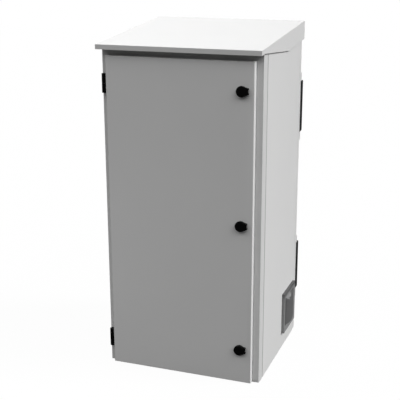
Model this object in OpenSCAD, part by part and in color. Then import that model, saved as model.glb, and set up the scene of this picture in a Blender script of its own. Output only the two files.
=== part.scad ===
// Roadside utility cabinet: a folded steel body that stands on the ground, one front door
// on two outside hinges with three quarter-turn locks, a sloping rain hood, two vent hoods
// on the rear cover and a filter fan low on the right side.
// Millimetres, +Z up, +Y to the rear. The origin is the middle of the footprint on the ground.

/* [Body] */
// Width across the side panels
body_w = 600; // [560:1:800]
// Depth from the face of the front frame to the rear flanges
body_d = 500; // [480:1:700]
// Height from the ground to the top flanges
body_h = 1220; // [1200:1:1500]
// Thickness of the painted steel sheet
sheet_t = 2; // [1.5:0.1:2.5]
// Outer radius of the sheet's folds
fold_r = 3; // [2.6:0.1:4]
// Width of the inward flanges along the panel edges
flange_w = 20; // [18:1:26]
// Depth of the front frame's side returns
frame_d = 45; // [40:1:60]
// Width of the seam between the frame and the side panels
seam_w = 3.5; // [1.5:0.1:4]
// How far the seam's foam strip lies below the surface
seam_depth = 4; // [3:0.5:7]
// Number of bolts along each side seam
seam_bolts_n = 5; // [3:1:8]

/* [Door] */
// Strip of frame left of the door, where the hinges stand
hinge_gap = 22.5; // [21:0.5:26]
// Strip of frame right of the door
lock_gap = 25.5; // [20:0.5:28]
// Height of the door's lower edge above the ground
door_rise = 3; // [2:0.5:10]
// Drop from the top flanges to the door's upper edge
door_drop = 32; // [28:1:45]
// Depth of the folded door
door_d = 22; // [20:0.5:26]
// Gap between the door's edge and the frame
door_gap = 1.2; // [0.8:0.1:2]
// Width of the frame's face beside the door opening
stile_w = 42; // [40:1:46]
// Height of the frame's face below the door opening
sill_h = 40; // [36:1:60]
// Overlap of the door over the top of the opening
head_lap = 23; // [20:1:30]
// Length of the rain lip around the opening
lip_h = 12; // [10:0.5:13]
// Width of the foam gasket
gasket_w = 10; // [8:0.5:11]
// Place of each stiffener's middle, counted from the side of the door opening
stiffener_x = -108; // [-148:1:-88]
// Width of a stiffener's crown
stiffener_w = 30; // [24:1:40]
// Height of a stiffener
stiffener_h = 14; // [10:0.5:15]

/* [Hinges] */
// Height of a hinge
hinge_h = 69; // [60:1:80]
// Drop from the door's upper edge to the upper hinge's middle
hinge_top_drop = 100; // [80:1:200]
// Rise from the door's lower edge to the lower hinge's middle
hinge_bottom_rise = 98; // [80:1:200]
// Diameter of the hinge pin
hinge_pin_d = 8; // [6:0.5:8.5]
// Gap between the two knuckles
knuckle_gap = 1.5; // [1:0.1:3]

/* [Locks] */
// Distance of the locks from the door's free edge
lock_inset = 43; // [39:0.5:60]
// Drop from the door's upper edge to the top lock
lock_top_drop = 100; // [90:1:200]
// Rise from the door's lower edge to the bottom lock
lock_bottom_rise = 133; // [90:1:250]
// Diameter of the lock's collar on the door
collar_d = 34.5; // [32:0.5:35.5]
// Height of the collar
collar_h = 8.8; // [8:0.1:10]
// Diameter of the dust cap
cap_d = 38.5; // [36:0.5:39]
// Thickness of the dust cap
cap_t = 5.9; // [5.5:0.1:7]
// Distance of the dust cap's pin from the lock's middle
cap_pin_x = 21.6; // [21.4:0.1:24]
// Diameter of the threaded barrel
barrel_d = 22; // [20:0.5:23]
// Diameter of the turning insert
insert_d = 14; // [12.5:0.5:15]
// Reach of the cam from the lock's middle
cam_reach = 45; // [36:1:50]
// Width of the cam
cam_w = 20; // [16:1:24]
// Thickness of the cam
cam_t = 3; // [2:0.5:4]
// Gap between the closed cam and the back of the frame
cam_gap = 1; // [0.6:0.1:2]

/* [Roof] */
// Gap between the roof's skirt and the body's side
roof_side_gap = 2.5; // [1.5:0.1:6]
// Reach of the roof in front of the frame
roof_front = 44; // [30:1:80]
// Reach of the roof behind the rear cover
roof_rear = 18; // [10:1:40]
// Height of the roof's front edge above the top flanges
roof_rise = 7.6; // [7:0.2:20]
// Slope of the roof in degrees
roof_slope = 4.9; // [4.5:0.1:8]
// Depth of the roof's front lip
roof_lip = 17; // [12:1:24]
// Depth of the roof's rear and side skirts
roof_skirt = 69; // [60:1:90]
// Distance behind the front edge where the side skirt starts to deepen
skirt_start = 37; // [20:1:80]
// Distance behind the front edge where the side skirt is full
skirt_full = 347; // [250:1:400]
// Length of the brackets under the roof
bracket_l = 500; // [300:10:520]
// Width of the brackets' flanges
bracket_w = 26; // [24:1:36]

/* [Rear cover] */
// Depth of the rear cover
cover_d = 23; // [20:0.5:30]
// Height of the cover's lower edge above the ground
cover_rise = 4; // [2:0.5:10]
// Drop from the top flanges to the cover's upper edge
cover_drop = 6; // [4:0.5:10]
// Height of the middle of the upper vent, counted from the top flanges
upper_vent_z = -275; // [-350:1:-260]
// Height of the middle of the lower vent
lower_vent_z = 277; // [260:1:340]
// Height of a vent hood
vent_h = 202; // [190:1:220]
// Depth of a vent hood behind the cover
vent_d = 38; // [28:0.5:45]
// Chamfer along a vent hood's long edges
vent_chamfer = 4; // [3:0.5:14]
// Gap between a vent hood's end and the cover's edge
vent_inset = 0.5; // [0.3:0.1:3]
// Thickness of a vent hood's sheet
vent_t = 1.5; // [1:0.1:2]
// Thickness of the rails that clamp a vent hood
rail_t = 12; // [9:0.5:16]
// Height of those rails
rail_h = 33; // [28:0.5:40]
// Thickness of the rear filter mats
mat_t = 12; // [8:0.5:14]

/* [Side vent] */
// Side of the square vent frame
vent_size = 166; // [160:1:180]
// Place of the vent's middle, counted from the rear flanges
vent_y = -104; // [-130:1:-100]
// Height of the vent's middle
vent_z = 147; // [135:1:160]
// Thickness of the vent frame at its outer edge
vent_edge = 11.5; // [11:0.5:16]
// Thickness of the vent frame at its inner edge
vent_face = 9; // [8:0.5:11]
// Width of the vent frame's sloping face
vent_band = 22; // [20:0.5:24]
// Diameter of the cut-out in the side panel
vent_cut_d = 124; // [122:0.5:126]
// Thickness of the side filter mat
pad_t = 3.5; // [2:0.5:4]
// Number of louvre slats
slats_n = 13; // [8:1:14]
// How far the louvre bows out in its middle
louvre_bow = 7; // [4:0.5:10]
// Side of the square fan
fan_size = 120; // [116:1:122]
// Depth of the fan
fan_d = 38; // [34:1:45]
// Diameter of the fan's duct
fan_duct_d = 112; // [104:1:113]
// Diameter of the fan's hub
fan_hub_d = 46; // [36:1:56]
// Diameter of the fan's shaft
fan_shaft_d = 5; // [4:0.5:8]
// Number of fan blades
blades_n = 7; // [5:1:9]

/* [Base and inside] */
// Thickness of the base tray
base_t = 2.5; // [2:0.1:4]
// Height of the base tray's edges
base_h = 30; // [24:1:34]
// Distance between the ground bolts across the width
bolt_span_x = 480; // [400:1:500]
// Distance between the ground bolts across the depth
bolt_span_y = 380; // [320:1:400]
// Diameter of the ground bolt holes
bolt_hole_d = 14; // [11:0.5:18]
// Diameter of the cable holes
cable_hole_d = 50; // [32:1:60]
// Number of cable holes
cable_holes_n = 4; // [2:1:5]
// Distance between the cable holes
cable_pitch = 85; // [80:1:95]
// Width of the mounting plate, counted from the body's width
plate_w = -100; // [-180:1:-90]
// Thickness of the mounting plate
plate_t = 3; // [2:0.5:4]
// Height of the mounting plate's lower edge
plate_rise = 262; // [255:1:300]
// Drop from the top flanges to the mounting plate's upper edge
plate_drop = 80; // [60:1:150]
// Distance of each mounting rail from the plate's nearer end
rail_inset = 60; // [40:1:150]
// Height of a mounting rail's crown
mount_rail_h = 40; // [34:1:50]
// Depth of a mounting rail
mount_rail_d = 45; // [30:1:50]

/* [Fasteners and fits] */
// Diameter of the bolts
screw_d = 6; // [5:0.5:7]
// Radial room around a bolt in its hole
screw_room = 0.3; // [0.2:0.1:0.5]
// Radial room around a turning shaft or pin
run_room = 0.05; // [0.03:0.01:0.08]
// Gap kept between soft or loosely set pieces
soft_gap = 0.3; // [0.2:0.1:0.5]

/* [Hidden] */
$fn = 48;
over = 1;
half_w = body_w / 2;
y_front = -body_d / 2;
y_rear = body_d / 2;
head_h = 0.65 * screw_d;
head_af = 1.7 * screw_d;
tight_room = 0.02;
hex_scale = 1 / cos(30);

// Frame, door and seam
open_x = half_w - stile_w;
door_x0 = -half_w + hinge_gap;
door_x1 = half_w - lock_gap;
door_z0 = door_rise;
door_z1 = body_h - door_drop;
open_z0 = sill_h;
open_z1 = door_z1 - head_lap;
door_back = y_front - door_gap;
door_face = door_back - door_d;
door_in = door_face + sheet_t;
gasket_back = y_front - lip_h - soft_gap;
seam_y = y_front + frame_d;
panel_y = seam_y + seam_w;
seam_bolt_x = half_w - (flange_w + seam_depth) / 2;
seam_z0 = base_h + flange_w;
seam_z1 = body_h - 2 * flange_w;
stiffener_t = 1.5;
stiffener_lap = 12;
stiffener_hole_d = 8;
stiffener_pitch = 50;
stiffener_z0 = open_z0 + 30;
stiffener_z1 = open_z1 - 30;

// Hinges: the knuckles stand in the strip beside the door, close to the door's edge
hinge_r = hinge_gap / 2 - 1.65;
hinge_x = door_x0 - hinge_r - 0.75;
hinge_y = y_front - hinge_r - 1.6;
hinge_zs = [door_z1 - hinge_top_drop, door_z0 + hinge_bottom_rise];
hinge_leaf = 8;
hinge_bolt_zs = [0.3 * hinge_h / 2, 0.75 * hinge_h / 2];
hinge_bolt_l = 5;

// Locks, drawn about their own axis with the door's face at y = 0
lock_x = door_x1 - lock_inset;
lock_z_top = door_z1 - lock_top_drop;
lock_z_bottom = door_z0 + lock_bottom_rise;
lock_zs = [lock_z_top, (lock_z_top + lock_z_bottom) / 2, lock_z_bottom];
cam_y = y_front + sheet_t + cam_gap - door_face;
barrel_end = cam_y - 5;
nut_t = 5;
nut_af = 27;
cap_gap = 0.3;
cap_back = -collar_h - cap_gap;
cap_front = cap_back - cap_t;
cap_edge_r = 1.5;
knuckle_r = 2.6;
cap_pin_y = 1 - collar_h - knuckle_r;
cap_pin_d = 2;
cap_knuckle_h = 11;
cap_flange_y = cap_pin_y - knuckle_r - soft_gap;
ear_h = 5;
ear_z = cap_knuckle_h / 2 + soft_gap;
lug_x = cap_pin_x + knuckle_r;
lug_z = ear_z + ear_h;
lug_angle = 65;
lug_back = -collar_h / 3;
tang = 8;
tang_l = cam_t + 2;
key_depth = 8;
key_sink = 2.8;

// Roof, which slopes down to the front
cover_face = y_rear + cover_d;
roof_y0 = y_front - roof_front;
roof_y1 = cover_face + roof_rear;
roof_x = half_w + roof_side_gap + sheet_t;
function roof_top(y) = body_h + roof_rise + (y - roof_y0) * tan(roof_slope);
function roof_under(y) = roof_top(y) - sheet_t;
top_z = body_h + sheet_t;
bracket_ys = [seam_y + 15, y_rear - 60];
bracket_bolt_y = sheet_t + head_af;
bracket_bolt_step = bracket_l / 2 - 40;

// Rear cover and its vents
cover_z0 = cover_rise;
cover_z1 = body_h - cover_drop;
cover_in = cover_face - sheet_t;
vent_x = half_w - vent_inset;
vent_zs = [body_h + upper_vent_z, lower_vent_z];
rail_z = vent_h / 2 + soft_gap;
rail_mid = rail_z + rail_h / 2;
vent_lap = rail_h - 7;
rail_screw_step = half_w / 4;
cover_screw_x = half_w - (flange_w + sheet_t) / 2;
cover_screw_zs = [cover_z1 - 30, (vent_zs[0] + vent_zs[1]) / 2, base_h + 16];
slot_rows = 5;
slot_cols = 4;
slot_margin = 48;
slot_post = 22;
slot_pitch_x = 2 * (half_w - slot_margin) / slot_cols;
slot_w = slot_pitch_x - slot_post;
slot_h = 9;
slot_pitch_z = 23;
visor_d = 7;
mat_x = slot_pitch_x * slot_cols / 2;
mat_z = slot_pitch_z * slot_rows / 2 + 4;
cassette_t = 1.5;
cassette_rim = 6;

// Side vent and fan, drawn about the fan's axis with the panel's outer face at x = 0
vent_inner = vent_size / 2 - vent_band;
vent_back_t = 2.5;
spigot_d = vent_cut_d - 0.6;
spigot_in_d = spigot_d - 5;
louvre_x = vent_back_t + pad_t;
louvre_side = vent_inner - soft_gap;
louvre_rim = 3.5;
louvre_rim_t = vent_face - louvre_x;
slat_t = 1.6;
slat_seat = vent_face + soft_gap;
slat_out = vent_face + 2;
slat_end = slat_out + louvre_bow + over;
bow_r = (pow(louvre_side, 2) + pow(louvre_bow, 2)) / (2 * louvre_bow);
slat_pitch = (2 * louvre_side - (slat_end - slat_seat) - slat_t) / (slats_n - 1);
fan_x1 = -sheet_t;
fan_x0 = fan_x1 - fan_d;
fan_plate_t = 5;
fan_hole = fan_size / 2 - 7.5;
fan_screw_d = 4;
fan_screw_l = fan_d + sheet_t + 1.5;
strut_w = 7;
motor_l = 14;
hub_gap = 1;
blade_t = 2;
blade_gap = 1.5;
blade_pitch = 38;
guard_t = 2;
guard_wire = 2.6;
guard_rings = 4;

// Base and inside
cable_y = -60;
cable_x0 = -cable_pitch * (cable_holes_n - 1) / 2;
grommet_lap = 6;
grommet_t = 3;
plate_z0 = plate_rise;
plate_z1 = body_h - plate_drop;
rail_back = y_rear - sheet_t;
plate_back = rail_back - mount_rail_d;
mount_rail_zs = [plate_z1 - rail_inset, plate_z0 + rail_inset];
mount_rail_x = half_w - fold_r;
mount_lip = 14;
plate_x = half_w + plate_w / 2;
plate_bolt_x = plate_x - 40;
earth_in = 130;
earth_y = y_front + earth_in;
earth_z = 150;
earth_d = 8;
earth_l = 30;
earth_nut_af = 13;
earth_nut_t = 6.5;

paint = "#d9dadb";
black = "#17181a";
dark_grey = "#4c4e50";
zinc = "#b8bcc0";
brass = "#b79a52";
foam = "#2b2c2e";
fleece = "#c9c9c4";

// Box between two corners
module block(a, b) {
    translate(a) cube(b - a);
}

// Rectangle whose two corners on the far x side are rounded
module two_round(x0, x1, y0, y1, r) {
    translate([x0, y0]) square([x1 - x0 - r, y1 - y0]);
    translate([x1 - 2 * r, y0 + r]) square([2 * r, y1 - y0 - 2 * r]);
    translate([x1 - r, y0 + r]) circle(r);
    translate([x1 - r, y1 - r]) circle(r);
}

// Section drawn as (y, z) and drawn out along x
module along_x(x0, x1) {
    translate([x0, 0, 0]) rotate([90, 0, 90]) linear_extrude(x1 - x0) children();
}

// Round rod along y
module rod_y(d, y0, y1) {
    translate([0, y1, 0]) rotate([90, 0, 0]) cylinder(d = d, h = y1 - y0);
}

// Round rod along x
module rod_x(d, x0, x1) {
    translate([x0, 0, 0]) rotate([0, 90, 0]) cylinder(d = d, h = x1 - x0);
}

// Closed form of a folded tray, with its folded edges on the far y side
module tray_form(x0, x1, y0, y1, z0, z1, r) {
    intersection() {
        translate([0, 0, z0]) linear_extrude(z1 - z0) mirror([1, -1]) two_round(y0, y1, x0, x1, r);
        along_x(x0, x1) two_round(y0, y1, z0, z1, r);
    }
}

// Folded tray, open on the near y side
module tray(x0, x1, y0, y1, z0, z1) {
    difference() {
        tray_form(x0, x1, y0, y1, z0, z1, fold_r);
        tray_form(x0 + sheet_t, x1 - sheet_t, y0 - over, y1 - sheet_t, z0 + sheet_t, z1 - sheet_t,
            fold_r - sheet_t);
    }
}

// Hexagon bolt: head below z = 0, shank up through the clamped sheets
module bolt(grip, tail) {
    translate([0, 0, -head_h]) cylinder(d = head_af * hex_scale, h = head_h, $fn = 6);
    cylinder(d = screw_d, h = grip + tail);
}

// Hexagon nut on that bolt
module nut(grip) {
    translate([0, 0, grip]) difference() {
        cylinder(d = head_af * hex_scale, h = head_h, $fn = 6);
        translate([0, 0, -over]) cylinder(r = screw_d / 2 + tight_room, h = head_h + 2 * over);
    }
}

// Bolt and nut together
module bolt_set(grip) {
    bolt(grip, head_h + 2);
    nut(grip);
}

// Room for a bolt's shank
module bolt_hole(depth) {
    translate([0, 0, -over]) cylinder(r = screw_d / 2 + screw_room, h = depth + 2 * over);
}

// Places of the bolts in both side seams, pointing to the rear
module at_seam_bolts() {
    for (side = [-1, 1], i = [0 : seam_bolts_n - 1])
        translate([side * seam_bolt_x, seam_y - sheet_t,
            seam_z0 + i * (seam_z1 - seam_z0) / (seam_bolts_n - 1)])
            rotate([-90, 0, 0]) children();
}

// Places of the rear cover's screws, pointing to the front
module at_cover_screws() {
    for (side = [-1, 1], z = cover_screw_zs)
        translate([side * cover_screw_x, cover_face, z]) rotate([90, 0, 0]) children();
}

// Places of the screws in one vent's rails, pointing to the front
module at_rail_screws(z) {
    for (i = [-3, -1, 1, 3], end = [-1, 1])
        translate([i * rail_screw_step, cover_face + rail_t, z + end * rail_mid])
            rotate([90, 0, 0]) children();
}

// Places of the bolts in both roof brackets, pointing down
module at_roof_bolts() {
    for (y = bracket_ys, i = [-1, 0, 1])
        translate([i * bracket_bolt_step, y + bracket_bolt_y, top_z + sheet_t])
            rotate([180, 0, 0]) children();
}

// Places of the mounting plate's bolts, pointing to the rear
module at_plate_bolts() {
    for (side = [-1, 1], z = mount_rail_zs)
        translate([side * plate_bolt_x, plate_back - plate_t, z]) rotate([-90, 0, 0]) children();
}

// Places of the fan's screws, pointing out through the panel
module at_fan_screws() {
    for (sy = [-1, 1], sz = [-1, 1])
        at_vent() translate([fan_x0 - guard_t, sy * fan_hole, sz * fan_hole])
            rotate([0, 90, 0]) children();
}

// The fan's axis on the right side panel
module at_vent() {
    translate([half_w, y_rear + vent_y, vent_z]) children();
}

// Places of the bolts in the hinges' frame halves, pointing to the front
module at_hinge_frame_bolts() {
    for (z = hinge_zs, dz = hinge_bolt_zs)
        translate([hinge_x, y_front + sheet_t, z - dz]) rotate([90, 0, 0]) children();
}

// Places of the bolts in the hinges' door halves, pointing out of the door's edge
module at_hinge_door_bolts() {
    for (z = hinge_zs, dz = hinge_bolt_zs)
        translate([door_x0 + sheet_t, hinge_y, z + dz]) rotate([0, -90, 0]) children();
}

// A lock's own axis
module at_lock(i) {
    translate([lock_x, door_face, lock_zs[i]]) children();
}

// Section of the frame's stile: face, side return and rear flange
module stile_section() {
    difference() {
        two_round(open_x, half_w, y_front, seam_y, fold_r);
        two_round(open_x - over, half_w - sheet_t, y_front + sheet_t, seam_y - sheet_t,
            fold_r - sheet_t);
        translate([open_x - over, y_front + sheet_t])
            square([half_w - flange_w - open_x + over, frame_d]);
    }
}

// Ring around the door opening, grown by g, between two depths
module opening_ring(g0, g1, y0, y1) {
    difference() {
        block([-open_x - g1, y0, open_z0 - g1], [open_x + g1, y1, open_z1 + g1]);
        block([-open_x - g0, y0 - over, open_z0 - g0], [open_x + g0, y1 + over, open_z1 + g0]);
    }
}

module front_frame() {
    color(paint) difference() {
        union() {
            linear_extrude(body_h) stile_section();
            linear_extrude(body_h) mirror([1, 0]) stile_section();
            block([-open_x, y_front, 0], [open_x, y_front + sheet_t, open_z0]);
            block([-open_x, y_front, open_z1], [open_x, y_front + sheet_t, body_h]);
            block([fold_r - half_w, y_front + sheet_t, body_h - sheet_t],
                [half_w - fold_r, seam_y, body_h]);
            opening_ring(0, sheet_t, y_front - lip_h, y_front + sheet_t);
        }
        for (side = [0, 1])
            mirror([side, 0, 0]) block([half_w - flange_w - over, y_front + sheet_t, -over],
                [half_w - sheet_t, seam_y + over, base_h]);
        at_seam_bolts() bolt_hole(sheet_t);
        at_hinge_frame_bolts() bolt_hole(sheet_t);
    }
}

// Right side panel without its vent: a sheet with front, rear and top flanges
module side_panel() {
    difference() {
        union() {
            linear_extrude(body_h) difference() {
                two_round(half_w - flange_w, half_w, panel_y, y_rear, fold_r);
                two_round(half_w - flange_w - over, half_w - sheet_t, panel_y + sheet_t,
                    y_rear - sheet_t, fold_r - sheet_t);
            }
            block([half_w - flange_w, panel_y + sheet_t / 2, body_h - sheet_t],
                [half_w - sheet_t / 2, y_rear - sheet_t / 2, body_h]);
        }
        block([half_w - flange_w - over, panel_y - over, -over],
            [half_w - sheet_t, y_rear + over, base_h]);
        at_seam_bolts() bolt_hole(frame_d);
        at_cover_screws() bolt_hole(cover_d + sheet_t);
    }
}

module side_panel_left() {
    color(paint) mirror([1, 0, 0]) side_panel();
}

module side_panel_right() {
    color(paint) difference() {
        side_panel();
        at_vent() rod_x(vent_cut_d, -sheet_t - over, over);
        at_fan_screws() cylinder(r = fan_screw_d / 2 + screw_room, h = fan_screw_l + 2 * over);
    }
}

module seam_seals() {
    color(foam) difference() {
        for (side = [0, 1])
            mirror([side, 0, 0]) block([half_w - flange_w, seam_y, base_h],
                [half_w - seam_depth, panel_y, body_h - flange_w]);
        at_seam_bolts() bolt_hole(frame_d);
    }
}

module seam_bolts() {
    color(zinc) at_seam_bolts() bolt_set(2 * sheet_t + seam_w);
}

module top_panel() {
    edge = half_w - sheet_t;
    between = half_w - flange_w - soft_gap;
    color(paint) difference() {
        union() {
            block([-edge, y_front + fold_r, body_h], [edge, y_rear, top_z]);
            block([-between, y_rear - sheet_t, body_h - flange_w], [between, y_rear, body_h + over]);
        }
        at_roof_bolts() bolt_hole(2 * sheet_t);
    }
}

module base_tray() {
    edge = half_w - sheet_t;
    near = y_front + sheet_t;
    color(paint) difference() {
        block([-edge, near, 0], [edge, y_rear, base_h]);
        block([-edge + base_t, near + base_t, base_t],
            [edge - base_t, y_rear - base_t, base_h + over]);
        for (sx = [-1, 1], sy = [-1, 1])
            translate([sx * bolt_span_x / 2, sy * bolt_span_y / 2, -over])
                cylinder(d = bolt_hole_d, h = base_t + 2 * over);
        for (i = [0 : cable_holes_n - 1])
            translate([cable_x0 + i * cable_pitch, cable_y, -over])
                cylinder(d = cable_hole_d, h = base_t + 2 * over);
    }
}

module cable_grommets() {
    hole_r = cable_hole_d / 2 - soft_gap;
    color(black) for (i = [0 : cable_holes_n - 1])
        translate([cable_x0 + i * cable_pitch, cable_y, 0]) rotate_extrude() polygon([
            [0, grommet_t], [hole_r - grommet_t, grommet_t], [hole_r - grommet_t, sheet_t / 2],
            [hole_r, sheet_t / 2], [hole_r, base_t], [hole_r + grommet_lap, base_t],
            [hole_r + grommet_lap, base_t + grommet_t], [0, base_t + grommet_t]]);
}

// Slots of one vent, cut between two depths
module slots(z, y0, y1) {
    for (i = [0 : slot_cols - 1], j = [0 : slot_rows - 1])
        translate([(i - (slot_cols - 1) / 2) * slot_pitch_x, 0,
            z + (j - (slot_rows - 1) / 2) * slot_pitch_z])
            block([-slot_w / 2, y0, -slot_h / 2], [slot_w / 2, y1, slot_h / 2]);
}

module rear_cover() {
    color(paint) difference() {
        tray(-half_w, half_w, y_rear, cover_face, cover_z0, cover_z1);
        for (z = vent_zs) slots(z, cover_in - over, cover_face + over);
        for (z = vent_zs) at_rail_screws(z) bolt_hole(rail_t + sheet_t);
        at_cover_screws() bolt_hole(sheet_t);
    }
}

module rear_cover_screws() {
    color(zinc) at_cover_screws() bolt_set(cover_d + sheet_t);
}

// Section of a vent hood as (y, z), drawn in by t
module vent_section(t) {
    d = vent_d - t;
    h = vent_h / 2 - t;
    c = vent_chamfer - t * (2 - sqrt(2));
    y0 = cover_face - (t > 0 ? over : 0);
    polygon([[y0, -h], [cover_face + d - c, -h], [cover_face + d, c - h],
        [cover_face + d, h - c], [cover_face + d - c, h], [y0, h]]);
}

// Thin sloping visor over each slot of a vent hood
module visors() {
    y = cover_face + vent_d;
    for (i = [0 : slot_cols - 1], j = [0 : slot_rows - 1])
        translate([(i - (slot_cols - 1) / 2) * slot_pitch_x, 0,
            (j - (slot_rows - 1) / 2) * slot_pitch_z + slot_h / 2])
            along_x(-slot_w / 2 - vent_t, slot_w / 2 + vent_t)
                polygon([[y - vent_t, 0], [y + visor_d, -slot_h], [y + visor_d, -slot_h + vent_t],
                    [y - vent_t, 2 * vent_t]]);
}

module vent_hood(z) {
    color(black) translate([0, 0, z]) difference() {
        union() {
            difference() {
                along_x(-vent_x, vent_x) vent_section(0);
                along_x(-vent_x + vent_t, vent_x - vent_t) vent_section(vent_t);
                slots(0, cover_face + vent_t + over, cover_face + vent_d + over);
            }
            visors();
            for (end = [0, 1]) mirror([0, 0, end])
                block([-vent_x, cover_face, vent_h / 2 - vent_t],
                    [vent_x, cover_face + vent_t, vent_h / 2 + vent_lap]);
        }
        at_rail_screws(0) bolt_hole(rail_t + sheet_t);
    }
}

module upper_vent_hood() { vent_hood(vent_zs[0]); }

module lower_vent_hood() { vent_hood(vent_zs[1]); }

module vent_rails(z) {
    color(paint) translate([0, 0, z]) difference() {
        for (end = [0, 1]) mirror([0, 0, end])
            block([-half_w, cover_face, rail_z], [half_w, cover_face + rail_t, rail_z + rail_h]);
        for (end = [0, 1]) mirror([0, 0, end])
            block([-half_w - over, cover_face - over, 0],
                [half_w + over, cover_face + vent_t, vent_h / 2 + vent_lap + soft_gap]);
        at_rail_screws(0) bolt_hole(rail_t);
    }
}

module upper_vent_rails() { vent_rails(vent_zs[0]); }

module lower_vent_rails() { vent_rails(vent_zs[1]); }

module vent_rail_screws() {
    color(zinc) for (z = vent_zs) at_rail_screws(z) bolt_set(rail_t + sheet_t);
}

module filter_mat(z) {
    color(fleece) block([-mat_x, cover_in - mat_t, z - mat_z], [mat_x, cover_in, z + mat_z]);
}

module upper_filter_mat() { filter_mat(vent_zs[0]); }

module lower_filter_mat() { filter_mat(vent_zs[1]); }

// Shallow folded box that holds a mat, with one window for each column of slots
module filter_cassette(z) {
    x = mat_x + cassette_t;
    h = mat_z + cassette_t;
    y = cover_in - mat_t;
    window = slot_pitch_x - 2 * cassette_rim;
    color(zinc) translate([0, 0, z]) difference() {
        block([-x, y - cassette_t, -h], [x, cover_in, h]);
        block([-mat_x, y, -mat_z], [mat_x, cover_in + over, mat_z]);
        for (i = [0 : slot_cols - 1])
            translate([(i - (slot_cols - 1) / 2) * slot_pitch_x, 0, 0])
                block([-window / 2, y - cassette_t - over, cassette_rim - mat_z],
                    [window / 2, y + over, mat_z - cassette_rim]);
    }
}

module upper_filter_cassette() { filter_cassette(vent_zs[0]); }

module lower_filter_cassette() { filter_cassette(vent_zs[1]); }

module roof_hood() {
    y2 = roof_y0 + skirt_start;
    y3 = roof_y0 + skirt_full;
    in0 = roof_y0 + sheet_t;
    in1 = roof_y1 - sheet_t;
    low = roof_top(roof_y0) - roof_skirt - over;
    color(paint) difference() {
        along_x(-roof_x, roof_x) polygon([
            [roof_y0, roof_top(roof_y0)], [roof_y0, roof_top(roof_y0) - roof_lip],
            [y2, roof_top(y2) - roof_lip], [y3, roof_top(y3) - roof_skirt],
            [roof_y1, roof_top(roof_y1) - roof_skirt], [roof_y1, roof_top(roof_y1)]]);
        along_x(-roof_x + sheet_t, roof_x - sheet_t) polygon([
            [in0, low], [in1, low], [in1, roof_under(in1)], [in0, roof_under(in0)]]);
    }
}

// Folded channel between the top panel and the sloping roof
module roof_bracket(y) {
    t = sheet_t;
    w = y + bracket_w;
    gap = tight_room;
    color(paint) difference() {
        along_x(-bracket_l / 2, bracket_l / 2) polygon([
            [y, top_z], [w, top_z], [w, top_z + t], [y + t, top_z + t],
            [y + t, roof_under(y + t) - gap - t], [w, roof_under(w) - gap - t],
            [w, roof_under(w) - gap], [y, roof_under(y) - gap]]);
        at_roof_bolts() bolt_hole(sheet_t);
    }
}

module roof_bracket_front() { roof_bracket(bracket_ys[0]); }

module roof_bracket_rear() { roof_bracket(bracket_ys[1]); }

module roof_bolts() {
    color(zinc) at_roof_bolts() bolt_set(2 * sheet_t);
}

// Section across the dished vent frame: outer edge, face sloping inwards and inner edge
module vent_frame_section() {
    half = vent_size / 2;
    polygon([[0, -half], [0, half], [vent_edge, half], [vent_face, vent_inner + 4],
        [vent_face, -vent_inner - 4], [vent_edge, -half]]);
}

module side_vent_frame() {
    half = vent_size / 2;
    color(dark_grey) difference() {
        at_vent() difference() {
            union() {
                translate([0, 0, -half]) linear_extrude(vent_size) vent_frame_section();
                rotate([90, 0, 0]) translate([0, 0, -half]) linear_extrude(vent_size)
                    vent_frame_section();
                rod_x(spigot_d, -sheet_t, over);
            }
            rod_x(spigot_in_d, -sheet_t - over, vent_face);
            block([vent_back_t, -vent_inner, -vent_inner], [vent_face + over, vent_inner, vent_inner]);
        }
        at_fan_screws() cylinder(r = fan_screw_d / 2 + tight_room, h = fan_screw_l + 2 * over);
    }
}

module side_vent_mat() {
    side = louvre_side;
    color(fleece) at_vent() block([vent_back_t, -side, -side], [louvre_x, side, side]);
}

// Rim with slats that slope out and down, and bow out towards the middle
module side_vent_louvre() {
    side = louvre_side;
    inner = side - louvre_rim;
    run = slat_end - slat_seat;
    back = slat_seat - louvre_x;
    color(dark_grey) at_vent() union() {
        difference() {
            block([louvre_x, -side, -side], [louvre_x + louvre_rim_t, side, side]);
            block([louvre_x - over, -inner, -inner],
                [louvre_x + louvre_rim_t + over, inner, inner]);
        }
        intersection() {
            for (i = [0 : slats_n - 1])
                translate([0, side, side - i * slat_pitch]) rotate([90, 0, 0])
                    linear_extrude(2 * side) polygon([[louvre_x, back - slat_t],
                        [slat_end, -run - slat_t], [slat_end, -run], [louvre_x, back]]);
            translate([slat_out + louvre_bow - bow_r, 0, -side])
                cylinder(r = bow_r, h = 2 * side, $fn = 360);
            block([louvre_x, -side, -side], [slat_end + over, side, side]);
        }
    }
}

module fan_frame() {
    half = fan_size / 2;
    wall_d = fan_duct_d + 5;
    color(black) difference() {
        at_vent() union() {
            difference() {
                union() {
                    rod_x(wall_d, fan_x0, fan_x1);
                    block([fan_x0, -half, -half], [fan_x0 + fan_plate_t, half, half]);
                    block([fan_x1 - fan_plate_t, -half, -half], [fan_x1, half, half]);
                }
                rod_x(fan_duct_d, fan_x0 - over, fan_x1 + over);
            }
            difference() {
                for (a = [0, 90]) rotate([a + 45, 0, 0])
                    block([fan_x0, -fan_duct_d / 2 - over, -strut_w / 2],
                        [fan_x0 + fan_plate_t, fan_duct_d / 2 + over, strut_w / 2]);
                rod_x(fan_hub_d - over, fan_x0 - over, fan_x1);
            }
            difference() {
                rod_x(fan_hub_d, fan_x0, fan_x0 + motor_l);
                rod_x(fan_shaft_d + 2 * run_room, fan_x0 + 2, fan_x0 + motor_l + over);
            }
        }
        at_fan_screws() cylinder(r = fan_screw_d / 2 + screw_room, h = fan_screw_l);
    }
}

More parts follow.
